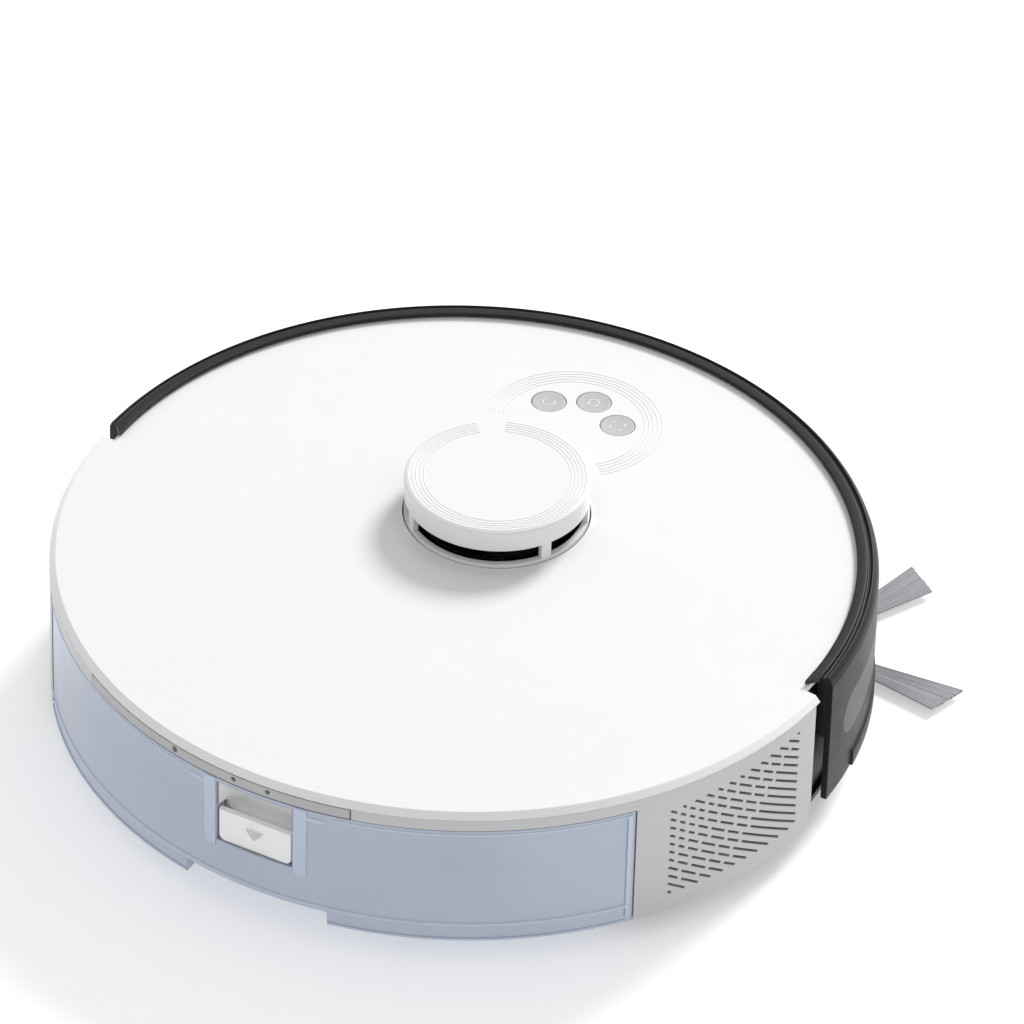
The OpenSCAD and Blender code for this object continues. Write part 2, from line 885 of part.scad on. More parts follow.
// Slice through the bumper: wall, broad chamfer, groove and the flange over the cover's edge
module bumper_profile() {
    top = cover_z + 2.6;
    polygon([[bumper_in, bumper_z], [bumper_out - 0.5, bumper_z], [bumper_out, bumper_z + 0.5],
        [bumper_out, top - 5.4], [bumper_out - 0.3, top - 4.2], [bumper_in + 0.3, top - 0.6],
        [bumper_in - 0.1, top - 0.3], [bumper_in - 0.9, top - 0.2], [bumper_in - 1.2, top - 1],
        [groove_in + 0.3, top - 1], [groove_in, top], [flange_r + 0.3, top], [flange_r, top - 0.3],
        [flange_r, top - flange_t], [bumper_in - 1.4, top - flange_t], [bumper_in, top - 4]]);
}

// A long window with rounded ends, as nested slices of a ring between two radii
module window_shape(r0, r1, a0, a1, half, grow) {
    round_end = asin(half / body_r);
    for (lift = [15, 40, 65, 90]) {
        end = round_end * (1 - cos(lift - 10));
        h = half * sin(lift) + grow;
        ring(r0, r1, window_z - h, window_z + h, a0 + end - grow / 3, a1 - end + grow / 3);
    }
}

module bumper_shell() {
    color("#3b3d40") difference() {
        union() {
            sector(180, 360)
                bumper_profile();
            ring(bumper_out - 0.7, bumper_out + 1, bumper_z, bumper_z + 8.5, 188.4, 351.6);
            // the flange runs a little past the wall, cut on the slant
            both_sides()
                translate([0, 0, cover_z + 2.6 - flange_t])
                    linear_extrude(height = flange_t)
                        polygon([[flange_r + 0.1, -1], [groove_in, -1], [groove_in, 2.8], [flange_r, 7.3]]);
        }
        side_window(bumper_in - 2, bumper_out + 4, 0.1);
        front_window(bumper_in - 2, bumper_out + 4, 0.1);
    }
    // ribs that close the wall's ends
    color("#3b3d40") both_sides()
        box([163.5, -3, window_z], [bumper_in + 0.2, -0.02, cover_z + 1]);
}

module side_window(r0, r1, grow) {
    window_shape(r0, r1, 184.2, 220, 10, grow);
}

module front_window(r0, r1, grow) {
    window_shape(r0, r1, 244, 296, 8, grow);
}

module bumper_windows() {
    color("#6d7074") side_window(bumper_in + 0.2, bumper_out + 0.2, 0);
    color("#1c1d20") front_window(bumper_in + 0.2, bumper_out + 0.2, 0);
}

// The tank's outer form, made smaller all round by inset
module tank_form(inset) {
    difference() {
        union() {
            intersection() {
                cylinder(r = body_r - 0.2 - inset, h = tank_z1 - inset, $fn = ROUND);
                box([-tank_x + inset, shoulder_y + inset, 0], [tank_x - inset, body_r, 90]);
            }
            box([-tank_in_x + inset, bay_y + 2.7 + inset, 0], [tank_in_x - inset, 110, tank_z1 - inset]);
        }
        box([-body_r, 0, -1], [body_r, body_r, tank_z0 + inset]);
    }
}

module recess(grow) {
    box([-recess_x - grow, recess_y - grow, recess_z - grow], [recess_x + grow, body_r + 5, recess_z + 30]);
}

module plug_place() {
    translate([80, 130, tank_z1 - plug_h])
        children();
}

module dust_pocket(grow) {
    box([pocket_x0 - 5, bay_y, pocket_z - grow], [pocket_x1 + grow, pocket_y1 + grow, tank_z1 + 5]);
}

// Gap between the tank's two feet, grown by g
module foot_gap(g) {
    box([-foot_gap_x - g, foot_gap_y - g, 0], [foot_gap_x + g, body_r + 2, tank_z0 + foot_gap_h + g]);
}

module tank_shell() {
    color("#a9b1c6", 0.85) difference() {
        tank_form(0);
        // water space
        difference() {
            tank_form(tank_t);
            recess(tank_t);
            dust_pocket(tank_t);
            // roof over the finger recess
            box([-recess_x - 2.5, recess_y - 3, recess_z + 27.8], [recess_x + 2.5, body_r, tank_z1]);
            foot_gap(tank_t);
        }
        recess(0);
        foot_gap(0);
        dust_pocket(0);
        plug_place()
            cylinder(r = plug_r, h = 10);
        // slots for a mop plate
        for (x = [-60, 60])
            box([x - 2, 120, 0], [x + 2, 158, tank_z0 + 1.2]);
    }
}

module dust_box() {
    color("#55585c") difference() {
        box([pocket_x0 + 0.2, bay_y + 3.3, pocket_z + 0.3], [pocket_x1 - 0.4, pocket_y1 - 0.4, lid_z]);
        box([pocket_x0 + 6.5, bay_y + 5.3, pocket_z + 2.3], [pocket_x1 - 2.4, pocket_y1 - 2.4, tank_z1]);
        // inlet from the suction duct, with a rebate for the flap
        box([wall - duct_x, bay_y + 2, duct_z0], [duct_x - wall, bay_y + 8, duct_z1]);
        // seat of the filter
        box([pocket_x0 - 1, fan_y - 9, fan_z - 9], [pocket_x0 + 8, pocket_y1 - 8, tank_z1 - 8]);
    }
}

module dust_lid() {
    color("#3a3c40") {
        box([pocket_x0 + 0.2, bay_y + 3.3, lid_z + 0.05], [pocket_x1 - 0.4, pocket_y1 - 0.4, tank_z1]);
        box([pocket_x0 + 8, bay_y + 5.6, lid_z - 1.5], [pocket_x1 - 2.7, pocket_y1 - 2.7, lid_z + 0.1]);
    }
}

module filter() {
    color("#f0f0ec") difference() {
        box([pocket_x0 + 0.6, fan_y - 8.9, fan_z - 8.9], [pocket_x0 + 6.4, pocket_y1 - 8.1, tank_z1 - 8.1]);
        for (y = [fan_y - 7:3:pocket_y1 - 11])
            box([pocket_x0, y, fan_z - 6], [pocket_x0 + 4, y + 1.4, tank_z1 - 11]);
    }
}

module inlet_flap() {
    color("#26282b") {
        box([2.6 - duct_x, bay_y + 5.5, duct_z0 + 0.6], [duct_x - 2.6, bay_y + 6.7, duct_z1 - 1]);
        rod_x(2.6 - duct_x, duct_x - 2.6, bay_y + 6.1, duct_z1 - 1.6, 1);
    }
}

module tank_latch() {
    color("#eef0f1") intersection() {
        ring(165.8, body_r - 0.5, recess_z + 0.4, recess_z + 16, 80, 100);
        union() {
            box([-latch_x, 150, recess_z + 3.4], [latch_x, body_r, tank_z1]);
            box([3 - latch_x, 150, recess_z], [latch_x - 3, body_r, tank_z1]);
            for (x = [3 - latch_x, latch_x - 3])
                translate([x, 150, recess_z + 3.4])
                    rotate([-90, 0, 0])
                        cylinder(r = 3, h = 30, $fn = 48);
        }
    }
}

module water_plug() {
    color("#2a2b2e") plug_place()
        cylinder(r = plug_r - FIT, h = plug_h - 0.1);
}

base_pan();
mid_frame();
tank_bay();
top_cover();
side_frame();
rear_trim();
suspension_pins();
suspension_springs();
battery();
battery_door();
main_board();
fan_housing();
fan_motor();
speaker();
brush_gearbox();
brush_motor();
brush_guard();
side_brush_motor();
lidar_base();
lidar_motor();
lidar_belt();
cap_springs();
button_board();
cliff_sensors();
charging_contacts();
bumper_switches();
base_screws();
bumper_springs();
wheel_arm_left();
drive_motor_left();
drive_pinion_left();
wheel_hub_left();
tyre_left();
wheel_arm_right();
drive_motor_right();
drive_pinion_right();
wheel_hub_right();
tyre_right();
caster_fork();
caster_axle();
caster_wheel();
main_brush_core();
main_brush_bristles();
side_brush_hub();
side_brush_bristles();
fan_impeller();
lidar_rotor();
lidar_pulley();
turret_cap();
button_left();
button_middle();
button_right();
bumper_shell();
bumper_windows();
tank_shell();
dust_box();
dust_lid();
filter();
tank_latch();
inlet_flap();
water_plug();
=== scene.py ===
import json
import math

import bmesh
import bpy
import numpy as np
from mathutils import Matrix, Vector


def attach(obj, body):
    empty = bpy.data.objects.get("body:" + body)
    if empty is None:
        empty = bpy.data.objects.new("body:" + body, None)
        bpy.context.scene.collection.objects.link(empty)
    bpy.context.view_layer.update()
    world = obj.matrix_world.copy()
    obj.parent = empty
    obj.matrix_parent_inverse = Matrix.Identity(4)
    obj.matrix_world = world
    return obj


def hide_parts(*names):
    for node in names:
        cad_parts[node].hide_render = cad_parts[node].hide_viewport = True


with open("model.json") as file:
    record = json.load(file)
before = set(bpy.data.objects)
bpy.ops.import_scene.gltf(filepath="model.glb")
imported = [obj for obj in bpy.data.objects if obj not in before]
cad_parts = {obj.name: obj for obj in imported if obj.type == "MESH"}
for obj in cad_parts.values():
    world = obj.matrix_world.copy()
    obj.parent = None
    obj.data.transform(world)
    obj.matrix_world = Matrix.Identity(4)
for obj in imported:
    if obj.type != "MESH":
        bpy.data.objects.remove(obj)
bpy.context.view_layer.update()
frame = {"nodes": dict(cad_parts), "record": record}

mm = 0.001
white = (1, 1, 1, 1)

# ---- camera, floor and light

view = {
    "azimuth": 208.1, "elevation": 37.574, "roll": 1.71,  # degrees
    "distance": 3.2886, "aimRight": 0.01905, "aimUp": 0.0164, "aimHeight": 0.076,
    "lens": 281.25, "sensor": 36,
}

studio = {
    "skyStrength": 0.62, "skyColour": (1, 1, 1, 1),
    "sunStrength": 2.75, "sunSpread": 18, "sunFrom": (-0.08, -1.0), "sunHeight": 34,
    "floorHalf": 4.0, "floorColour": (0.95, 0.95, 0.95, 1), "floorGlow": 0.32,
}


def placeCamera(v):
    # back points from the object to the camera; roll turns the picture about it
    azimuth, elevation, roll = (math.radians(v[k]) for k in ("azimuth", "elevation", "roll"))
    back = Vector((math.sin(azimuth) * math.cos(elevation), -math.cos(azimuth) * math.cos(elevation),
                   math.sin(elevation)))
    right = Vector((math.cos(azimuth), math.sin(azimuth), 0))
    up = back.cross(right)
    place = Vector((0, 0, v["aimHeight"])) + right * v["aimRight"] + up * v["aimUp"] + back * v["distance"]
    rolledRight = right * math.cos(roll) + up * math.sin(roll)
    rolledUp = up * math.cos(roll) - right * math.sin(roll)
    lens = bpy.data.cameras.new("studioCamera")
    lens.lens, lens.sensor_width, lens.clip_end = v["lens"], v["sensor"], 60
    camera = bpy.data.objects.new("studioCamera", lens)
    bpy.context.collection.objects.link(camera)
    camera.matrix_world = Matrix([[rolledRight[i], rolledUp[i], back[i], place[i]] for i in range(3)]
                                 + [[0, 0, 0, 1]])
    bpy.context.scene.camera = camera


def lightStudio(s):
    sky = bpy.data.worlds.new("studioSky")
    sky.use_nodes = True
    background = sky.node_tree.nodes["Background"]
    background.inputs["Color"].default_value = s["skyColour"]
    background.inputs["Strength"].default_value = s["skyStrength"]
    bpy.context.scene.world = sky
    lamp = bpy.data.lights.new("softKey", "SUN")
    lamp.energy, lamp.angle = s["sunStrength"], math.radians(s["sunSpread"])
    key = bpy.data.objects.new("softKey", lamp)
    bpy.context.collection.objects.link(key)
    height = math.radians(s["sunHeight"])
    towards = Vector((s["sunFrom"][0] * math.cos(height), s["sunFrom"][1] * math.cos(height), math.sin(height)))
    key.rotation_euler = (-towards).to_track_quat("-Z", "Y").to_euler()


placeCamera(view)
lightStudio(studio)
bpy.context.scene.view_settings.view_transform = "Standard"
print("camera and light placed")

# ---- shader groups and materials


def newGroup(name, inputs, outputs):
    group = bpy.data.node_groups.new(name, "ShaderNodeTree")
    for label, kind, value in inputs:
        socket = group.interface.new_socket(label, in_out="INPUT", socket_type="NodeSocket" + kind)
        if value is not None:
            socket.default_value = value
    for label, kind in outputs:
        group.interface.new_socket(label, in_out="OUTPUT", socket_type="NodeSocket" + kind)
    return group, group.nodes.new("NodeGroupInput").outputs, group.nodes.new("NodeGroupOutput").inputs


def put(tree, kind, inputs, **settings):
    # adds one node; an input is a number, a colour or another node's output
    made = tree.nodes.new("ShaderNode" + kind)
    for key, value in settings.items():
        setattr(made, key, value)
    for key, value in inputs.items():
        if isinstance(value, bpy.types.NodeSocket):
            tree.links.new(value, made.inputs[key])
        else:
            made.inputs[key].default_value = value
    return made


def calc(tree, operation, a, b=0.0):
    return put(tree, "Math", {0: a, 1: b}, operation=operation).outputs[0]


def blendColours(tree, factor, a, b):
    # inputs 6 and 7 and output 2 are the Mix node's colour sockets
    return put(tree, "Mix", {0: factor, 6: a, 7: b}, data_type="RGBA").outputs[2]


def spread(tree, value, low, high, toLow=0.0, toHigh=1.0):
    return put(tree, "MapRange", {0: value, 1: low, 2: high, 3: toLow, 4: toHigh}).outputs[0]


effects = {
    "rub": {"patchScale": 140, "flat": 0.995, "sharp": 0.86, "patchLow": 0.36, "patchHigh": 0.62},
    "grain": {"cellShare": 0.5, "noiseScale": 0.55, "low": 0.4, "high": 1.1},
    "marks": {"smudgeScale": 4.5, "scratchStretch": (18, 420, 160), "scratchTurn": (0.3, 0.2, 0.7),
              "driftRange": (0.3, 0.7), "smudgeRange": (0.48, 0.72), "scratchRange": (0.66, 0.72),
              "scratchWhere": (0.52, 0.7)},
    "brushed": {"low": 0.3, "high": 0.7},
}


def makeEdgeRub(e):
    # Mask: how far the rounded normal leans from the flat one, broken up by noise. Normal: the rounded one
    group, given, out = newGroup("edgeRub", [("Vector", "Vector", None), ("Radius", "Float", 0.0004)],
                                 [("Mask", "Float"), ("Normal", "Vector")])
    rounded = put(group, "Bevel", {"Radius": given["Radius"]}, samples=4).outputs[0]
    flat = put(group, "NewGeometry", {}).outputs["Normal"]
    lean = put(group, "VectorMath", {0: rounded, 1: flat}, operation="DOT_PRODUCT").outputs["Value"]
    patches = put(group, "TexNoise", {"Vector": given["Vector"], "Scale": e["patchScale"],
                                      "Detail": 4}).outputs["Fac"]
    bent = spread(group, lean, e["flat"], e["sharp"])
    broken = spread(group, patches, e["patchLow"], e["patchHigh"])
    group.links.new(calc(group, "MULTIPLY", bent, broken), out["Mask"])
    group.links.new(rounded, out["Normal"])
    return group


def makeMouldGrain(e):
    # spark-eroded mould texture: small cells softened by two sizes of noise
    group, given, out = newGroup("mouldGrain", [("Vector", "Vector", None), ("Scale", "Float", 1500)],
                                 [("Height", "Float"), ("Shade", "Float")])
    cells = put(group, "TexVoronoi", {"Vector": given["Vector"], "Scale": given["Scale"]},
                feature="SMOOTH_F1").outputs["Distance"]
    noiseScale = calc(group, "MULTIPLY", given["Scale"], e["noiseScale"])
    noise = put(group, "TexNoise", {"Vector": given["Vector"], "Scale": noiseScale, "Detail": 5,
                                    "Roughness": 0.6}).outputs["Fac"]
    height = calc(group, "ADD", calc(group, "MULTIPLY", cells, e["cellShare"]), noise)
    group.links.new(height, out["Height"])
    group.links.new(spread(group, height, e["low"], e["high"]), out["Shade"])
    return group


def makeHandling(e):
    # slow drifts of shade over the surface, faint smudges, and fine scratches where two noises cross
    group, given, out = newGroup("handlingMarks", [("Vector", "Vector", None), ("Scale", "Float", 14)],
                                 [("Drift", "Float"), ("Smudge", "Float"), ("Scratch", "Float")])
    drift = put(group, "TexNoise", {"Vector": given["Vector"], "Scale": given["Scale"], "Detail": 3}).outputs["Fac"]
    smudgeScale = calc(group, "MULTIPLY", given["Scale"], e["smudgeScale"])
    smudge = put(group, "TexNoise", {"Vector": given["Vector"], "Scale": smudgeScale, "Detail": 6,
                                     "Distortion": 0.8}).outputs["Fac"]
    stretched = put(group, "Mapping", {"Vector": given["Vector"], "Rotation": e["scratchTurn"],
                                       "Scale": e["scratchStretch"]}).outputs[0]
    hair = put(group, "TexNoise", {"Vector": stretched, "Scale": 1.6, "Detail": 2}).outputs["Fac"]
    where = spread(group, drift, *e["scratchWhere"])
    group.links.new(spread(group, drift, *e["driftRange"]), out["Drift"])
    group.links.new(spread(group, smudge, *e["smudgeRange"]), out["Smudge"])
    group.links.new(calc(group, "MULTIPLY", spread(group, hair, *e["scratchRange"]), where), out["Scratch"])
    return group


def makeBrushed(e):
    # drawn or turned metal: noise stretched along one axis
    inputs = [("Vector", "Vector", None), ("Stretch", "Vector", (40, 2600, 2600))]
    group, given, out = newGroup("brushedMetal", inputs, [("Height", "Float"), ("Shade", "Float")])
    along = put(group, "VectorMath", {0: given["Vector"], 1: given["Stretch"]}, operation="MULTIPLY").outputs[0]
    lines = put(group, "TexNoise", {"Vector": along, "Scale": 1.0, "Detail": 4, "Roughness": 0.7}).outputs["Fac"]
    group.links.new(lines, out["Height"])
    group.links.new(spread(group, lines, e["low"], e["high"]), out["Shade"])
    return group


shaderGroups = {"rub": makeEdgeRub(effects["rub"]), "grain": makeMouldGrain(effects["grain"]),
                "marks": makeHandling(effects["marks"]), "brushed": makeBrushed(effects["brushed"])}


def place(tree, which, **inputs):
    made = tree.nodes.new("ShaderNodeGroup")
    made.node_tree = shaderGroups[which]
    for key, value in inputs.items():
        if isinstance(value, bpy.types.NodeSocket):
            tree.links.new(value, made.inputs[key])
        else:
            made.inputs[key].default_value = value
    return made.outputs


def startMaterial(name):
    material = bpy.data.materials.new(name)
    material.use_nodes = True
    tree = material.node_tree
    where = put(tree, "TexCoord", {}).outputs["Object"]
    return material, tree, tree.nodes["Principled BSDF"], where


# colour, worn colour, roughness, grain size per metre and depth in mm, wear along edges, shade variation
plasticLook = {"colour": (0.5, 0.5, 0.5), "worn": (0.7, 0.7, 0.7), "rough": 0.45, "grain": 1500, "depth": 0.02,
               "wear": 0.3, "drift": 0.06, "edge": 0.00035, "specular": 0.5, "coat": 0.0, "coatRough": 0.1,
               "scratch": 0.15, "transmission": 0.0, "sheen": 0.0}


def moulded(name, pattern=None, **changes):
    # plastics and rubbers; pattern(tree, where, colour) may return (colour, extra height)
    look = {**plasticLook, **changes}
    material, tree, surface, where = startMaterial(name)
    rub = place(tree, "rub", Vector=where, Radius=look["edge"])
    grain = place(tree, "grain", Vector=where, Scale=look["grain"])
    marks = place(tree, "marks", Vector=where)
    base, worn = (*look["colour"], 1), (*look["worn"], 1)
    dull = tuple(c * (1 - look["drift"]) for c in look["colour"]) + (1,)
    colour = blendColours(tree, marks["Drift"], base, dull)
    extra = None
    if pattern:
        colour, extra = pattern(tree, where, colour)
    colour = blendColours(tree, calc(tree, "MULTIPLY", grain["Shade"], look["drift"]), colour, (0.02, 0.02, 0.02, 1))
    colour = blendColours(tree, calc(tree, "MULTIPLY", rub["Mask"], look["wear"]), colour, worn)
    tree.links.new(colour, surface.inputs["Base Color"])
    rough = calc(tree, "ADD", look["rough"], calc(tree, "MULTIPLY", marks["Smudge"], 0.07))
    rough = calc(tree, "ADD", rough, calc(tree, "MULTIPLY", marks["Scratch"], look["scratch"]))
    rough = calc(tree, "SUBTRACT", rough, calc(tree, "MULTIPLY", rub["Mask"], 0.1))
    tree.links.new(rough, surface.inputs["Roughness"])
    height = calc(tree, "MULTIPLY", grain["Height"], look["depth"] * mm)
    if extra is not None:
        height = calc(tree, "ADD", height, extra)
    bump = put(tree, "Bump", {"Height": height, "Normal": rub["Normal"], "Distance": 1.0, "Strength": 1.0})
    tree.links.new(bump.outputs[0], surface.inputs["Normal"])
    surface.inputs["Specular IOR Level"].default_value = look["specular"]
    surface.inputs["Coat Weight"].default_value = look["coat"]
    surface.inputs["Coat Roughness"].default_value = look["coatRough"]
    surface.inputs["Transmission Weight"].default_value = look["transmission"]
    surface.inputs["Sheen Weight"].default_value = look["sheen"]
    return material


def metal(name, colour, rough=0.3, stretch=(40, 2600, 2600), stain=(0.25, 0.24, 0.22)):
    material, tree, surface, where = startMaterial(name)
    rub = place(tree, "rub", Vector=where, Radius=0.0002)
    lines = place(tree, "brushed", Vector=where, Stretch=stretch)
    marks = place(tree, "marks", Vector=where, Scale=40)
    shade = blendColours(tree, calc(tree, "MULTIPLY", marks["Smudge"], 0.3), (*colour, 1), (*stain, 1))
    shade = blendColours(tree, calc(tree, "MULTIPLY", lines["Shade"], 0.18), shade,
                         tuple(c * 0.6 for c in colour) + (1,))
    shade = blendColours(tree, calc(tree, "MULTIPLY", rub["Mask"], 0.5), shade,
                         tuple(min(1, c * 1.3) for c in colour) + (1,))
    tree.links.new(shade, surface.inputs["Base Color"])
    roughness = calc(tree, "ADD", rough, calc(tree, "MULTIPLY", lines["Shade"], 0.15))
    tree.links.new(roughness, surface.inputs["Roughness"])
    surface.inputs["Metallic"].default_value = 1.0
    bump = put(tree, "Bump", {"Height": calc(tree, "MULTIPLY", lines["Height"], 0.012 * mm),
                              "Normal": rub["Normal"], "Distance": 1.0})
    tree.links.new(bump.outputs[0], surface.inputs["Normal"])
    return material


def copperTracks(tree, where, colour):
    # right-angled tracks under the solder mask, as brick joints at two sizes, with round pads
    flat = put(tree, "Mapping", {"Vector": where, "Scale": (1, 1, 0.01)}).outputs[0]
    wide = put(tree, "TexBrick", {"Vector": flat, "Scale": 60, "Mortar Size": 0.012, "Brick Width": 0.9,
                                  "Row Height": 0.3, "Color1": (0, 0, 0, 1), "Color2": (0, 0, 0, 1),
                                  "Mortar": white}).outputs["Fac"]
    pads = put(tree, "TexVoronoi", {"Vector": flat, "Scale": 190}).outputs["Distance"]
    dots = spread(tree, pads, 0.16, 0.12)
    tracked = blendColours(tree, calc(tree, "MULTIPLY", wide, 0.55), colour, (0.12, 0.42, 0.2, 1))
    tracked = blendColours(tree, dots, tracked, (0.62, 0.55, 0.35, 1))
    return tracked, calc(tree, "MULTIPLY", calc(tree, "ADD", wide, dots), 0.04 * mm)


def pleats(tree, where, colour):
    # folds of filter paper across the width, darker in the valleys
    folds = put(tree, "TexWave", {"Vector": where, "Scale": 105, "Distortion": 0.4, "Detail": 2},
                bands_direction="Y").outputs["Fac"]
    darkerInValleys = blendColours(tree, spread(tree, folds, 0.6, 0.1, 0.0, 0.45), colour, (0.42, 0.4, 0.36, 1))
    return darkerInValleys, calc(tree, "MULTIPLY", folds, 0.25 * mm)


def treadDust(tree, where, colour):
    # pale dust caught low in the tread
    speck = put(tree, "TexNoise", {"Vector": where, "Scale": 260, "Detail": 6}).outputs["Fac"]
    return blendColours(tree, spread(tree, speck, 0.55, 0.75, 0.0, 0.35), colour, (0.22, 0.21, 0.2, 1)), None


def hazeAndPaintedLight(tree, where, colour):
    # milky moulding: slow clouds of a lighter tone, and painted light that makes the tank lighter towards the bottom
    tall = put(tree, "SeparateXYZ", {"Vector": where}).outputs["Z"]
    cloud = put(tree, "TexNoise", {"Vector": where, "Scale": 22, "Detail": 5, "Distortion": 0.6}).outputs["Fac"]
    mist = calc(tree, "MULTIPLY", spread(tree, cloud, 0.3, 0.75), 0.16)
    hazeAndLight = blendColours(tree, mist, colour, (0.70, 0.75, 0.84, 1))
    # painted light: the tank is painted lighter from 50 mm down to 18 mm over the floor
    hazeAndLight = blendColours(tree, spread(tree, tall, 0.050, 0.018, 0.0, 0.25), hazeAndLight, (0.66, 0.72, 0.82, 1))
    return hazeAndLight, None


finishes = {
    "white_shell": moulded("satinWhiteMoulding", colour=(0.87, 0.87, 0.872), worn=(0.95, 0.95, 0.95), rough=0.36,
                           grain=2600, depth=0.010, wear=0.3, drift=0.012, edge=0.0006, scratch=0.08, coat=0.12,
                           coatRough=0.25),
    "grey_trim": moulded("lightGreyTrim", colour=(0.45, 0.45, 0.455), worn=(0.7, 0.7, 0.7), rough=0.42, grain=2200,
                         depth=0.012),
    "panel_grey": moulded("paleGreyPanel", colour=(0.52, 0.522, 0.527), worn=(0.8, 0.8, 0.8), rough=0.40, grain=2400,
                          depth=0.012, drift=0.04, wear=0.4),
    "charcoal_shell": moulded("charcoalBumper", colour=(0.019, 0.020, 0.022), worn=(0.09, 0.09, 0.095), rough=0.44,
                              grain=1700, depth=0.02, wear=0.4, drift=0.12, edge=0.0004, specular=0.2),
    "dark_plastic": moulded("blackEngineeringPlastic", colour=(0.028, 0.028, 0.030), worn=(0.11, 0.11, 0.11),
                            rough=0.5, grain=1200, depth=0.03, wear=0.5, drift=0.2),
    "black_gloss": moulded("infraredPassBlack", colour=(0.006, 0.006, 0.008), worn=(0.05, 0.05, 0.05), rough=0.09,
                           grain=600, depth=0.001, wear=0.2, drift=0.1, coat=0.5, coatRough=0.04),
    "window_grey": moulded("smokedWindow", colour=(0.14, 0.142, 0.146), worn=(0.25, 0.25, 0.25), rough=0.5,
                           grain=800, depth=0.003, wear=0.2, drift=0.05, specular=0.2),
    "tank_blue": moulded("milkyBlueTank", hazeAndPaintedLight, colour=(0.45, 0.50, 0.62), worn=(0.74, 0.80, 0.90), rough=0.34,
                         grain=900, depth=0.002, wear=0.3, drift=0.03, edge=0.0005, transmission=0.12, coat=0.2,
                         coatRough=0.2, scratch=0.05),
    "tank_edge": moulded("clearBlueEdge", colour=(0.49, 0.555, 0.68), worn=(0.78, 0.84, 0.93), rough=0.3, grain=900,
                         depth=0.002, wear=0.3, drift=0.03, edge=0.0004, coat=0.3, coatRough=0.15, scratch=0.05),
    "button_grey": moulded("lightGreyButton", colour=(0.55, 0.555, 0.56), worn=(0.85, 0.85, 0.85), rough=0.4,
                           grain=2600, depth=0.008),
    "steel": metal("brightSteel", (0.62, 0.62, 0.63), 0.25),
    "motor_can": metal("zincPlatedCan", (0.55, 0.56, 0.57), 0.32, (60, 1800, 1800)),
    "brass": metal("machinedBrass", (0.72, 0.55, 0.26), 0.25, (2400, 60, 60)),
    "gold_contact": metal("goldPad", (0.86, 0.67, 0.30), 0.2, (900, 40, 40)),
    "tyre_rubber": moulded("treadRubber", treadDust, colour=(0.018, 0.018, 0.018), worn=(0.09, 0.09, 0.088),
                           rough=0.72, grain=900, depth=0.05, wear=0.7, drift=0.25, sheen=0.05),
    "black_rubber": moulded("softBlackRubber", colour=(0.014, 0.014, 0.014), worn=(0.06, 0.06, 0.06), rough=0.65,
                            grain=1500, depth=0.03, drift=0.2),
    "circuit_green": moulded("solderMask", copperTracks, colour=(0.015, 0.13, 0.055), worn=(0.5, 0.45, 0.3),
                             rough=0.3, grain=900, depth=0.004, wear=0.3, drift=0.1),
    "battery_blue": moulded("shrinkSleeve", colour=(0.02, 0.07, 0.28), worn=(0.2, 0.3, 0.5), rough=0.22, grain=260,
                            depth=0.04, wear=0.3, drift=0.15, coat=0.3),
    "orange_soft": moulded("softOrangeBlade", colour=(0.62, 0.13, 0.035), worn=(0.75, 0.3, 0.15), rough=0.55,
                           grain=900, depth=0.02, wear=0.4, drift=0.15, sheen=0.1),
    "orange_guard": moulded("orangeGuard", colour=(0.66, 0.15, 0.04), worn=(0.8, 0.35, 0.2), rough=0.42, grain=1500,
                            depth=0.02, drift=0.1),
    "bristle_grey": moulded("greyNylon", colour=(0.40, 0.405, 0.43), worn=(0.6, 0.6, 0.62), rough=0.38, grain=900,
                            depth=0.01, wear=0.2, drift=0.12, edge=0.0001),
    "pleated_filter": moulded("pleatedPaper", pleats, colour=(0.8, 0.79, 0.74), worn=(0.85, 0.84, 0.8), rough=0.85,
                              grain=2200, depth=0.03, drift=0.1, specular=0.2),
    "caster_white": moulded("naturalNylon", colour=(0.68, 0.68, 0.66), worn=(0.5, 0.5, 0.48), rough=0.42,
                            grain=1400, depth=0.012, wear=0.4, drift=0.12),
}
iconInk = moulded("iconInk", colour=(0.86, 0.86, 0.865), worn=(0.9, 0.9, 0.9), rough=0.4, grain=2600, depth=0.002)
faintInk = moulded("faintInk", colour=(0.62, 0.62, 0.625), worn=(0.7, 0.7, 0.7), rough=0.5, grain=2600, depth=0.002)
lensGlass = moulded("coatedLens", colour=(0.03, 0.012, 0.05), worn=(0.1, 0.05, 0.15), rough=0.04, grain=400,
                    depth=0.0, wear=0.1, coat=1.0, coatRough=0.02)

slotOf = {part["node"]: part["material_slot"] for part in frame["record"]["subparts"]}
for name, node in frame["nodes"].items():
    node.data.materials.clear()
    node.data.materials.append(finishes[slotOf[name]])
print("materials made:", len(finishes))

# ---- mesh helpers; lengths in mm, z up


def gridFaces(rows, columns, wrapRows=False, wrapColumns=False):
    # quads between neighbouring grid points; a wrapped direction also joins its last line to its first
    i = np.arange(rows if wrapRows else rows - 1)[:, None]
    j = np.arange(columns if wrapColumns else columns - 1)[None, :]
    nextRow, nextColumn = (i + 1) % rows * columns, (j + 1) % columns
    corners = np.broadcast_arrays(i * columns + j, nextRow + j, nextRow + nextColumn, i * columns + nextColumn)
    return np.stack(corners, -1).reshape(-1, 4)


def loft(grid, closedAlong=False):
    # grid[i, j] is point j of closed section i; unless the sections run in a loop, both ends are capped
    rows, columns = grid.shape[:2]
    faces = gridFaces(rows, columns, closedAlong, True).tolist()
    if not closedAlong:
        faces += [list(range(columns)), list(range((rows - 1) * columns, rows * columns))]
    return grid.reshape(-1, 3), faces


def together(forms):
    starts = np.cumsum([0] + [len(points) for points, faces in forms[:-1]]).tolist()
    points = np.concatenate([points for points, faces in forms])
    return points, [[v + start for v in face] for start, (_, faces) in zip(starts, forms) for face in faces]


